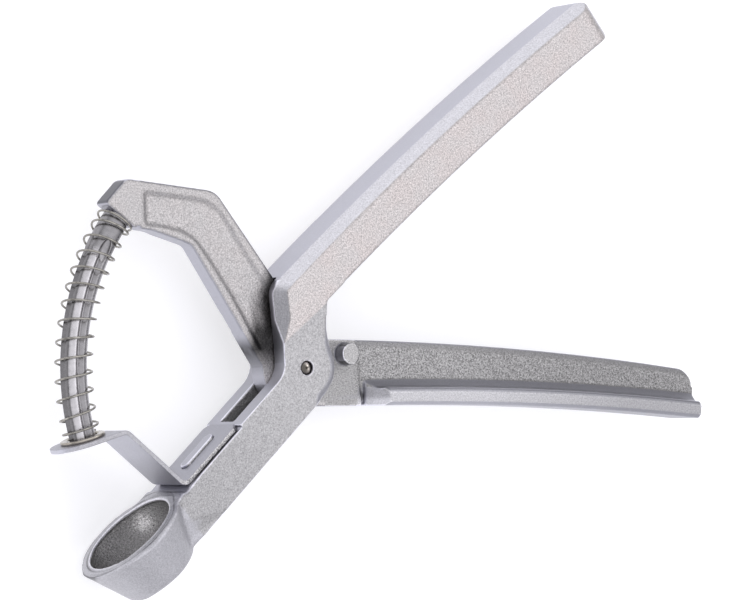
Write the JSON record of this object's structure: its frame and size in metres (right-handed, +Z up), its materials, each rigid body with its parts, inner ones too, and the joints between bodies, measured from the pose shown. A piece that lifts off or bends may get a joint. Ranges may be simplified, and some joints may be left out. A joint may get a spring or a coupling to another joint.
{
  "type": "olive pitter",
  "caption": "Cast plier-type olive pitter: levers crossed on a pin, curved fluted punch rod in a coil return spring, sheet stripper plate, and a cup with a stone outlet.",
  "frame": {"origin": "middle of the underside of the bounding box; the object lies on its side, on the edge of the cup's rim and the levers' flanks", "axes": "+X runs from the cup and rod towards the handles' ends, along the longest extent; +Y towards the upper handle; +Z up, along the pivot pin, the shortest extent"},
  "size_m": [0.1736, 0.1386, 0.0268],
  "materials": {
    "cast_levers": "tumbled casting with a fine grain",
    "plate_sheet": "tumbled sheet, satin",
    "rod_steel": "plated, satin",
    "spring_wire": "bright drawn wire",
    "bright_steel": "bright turned"
  },
  "bodies": {
    "cup_lever_body": {"cup_lever": "cast_levers", "stripper_plate": "plate_sheet", "spring_seat": "bright_steel", "pivot_pin": "bright_steel", "return_spring": "spring_wire"},
    "punch_lever_body": {"punch_lever": "cast_levers", "punch_rod": "rod_steel"}
  },
  "joints": [
    {"name": "squeeze", "type": "hinge", "parent": "cup_lever_body", "child": "punch_lever_body", "pos_m": [-0.02671, -0.0181, 0.0134], "axis": [0, 0, 1], "range_deg": [0, 38], "stiffness_Nm_per_rad": 0.28, "springref_deg": -9.45, "deforming": ["return_spring"]}
  ]
}
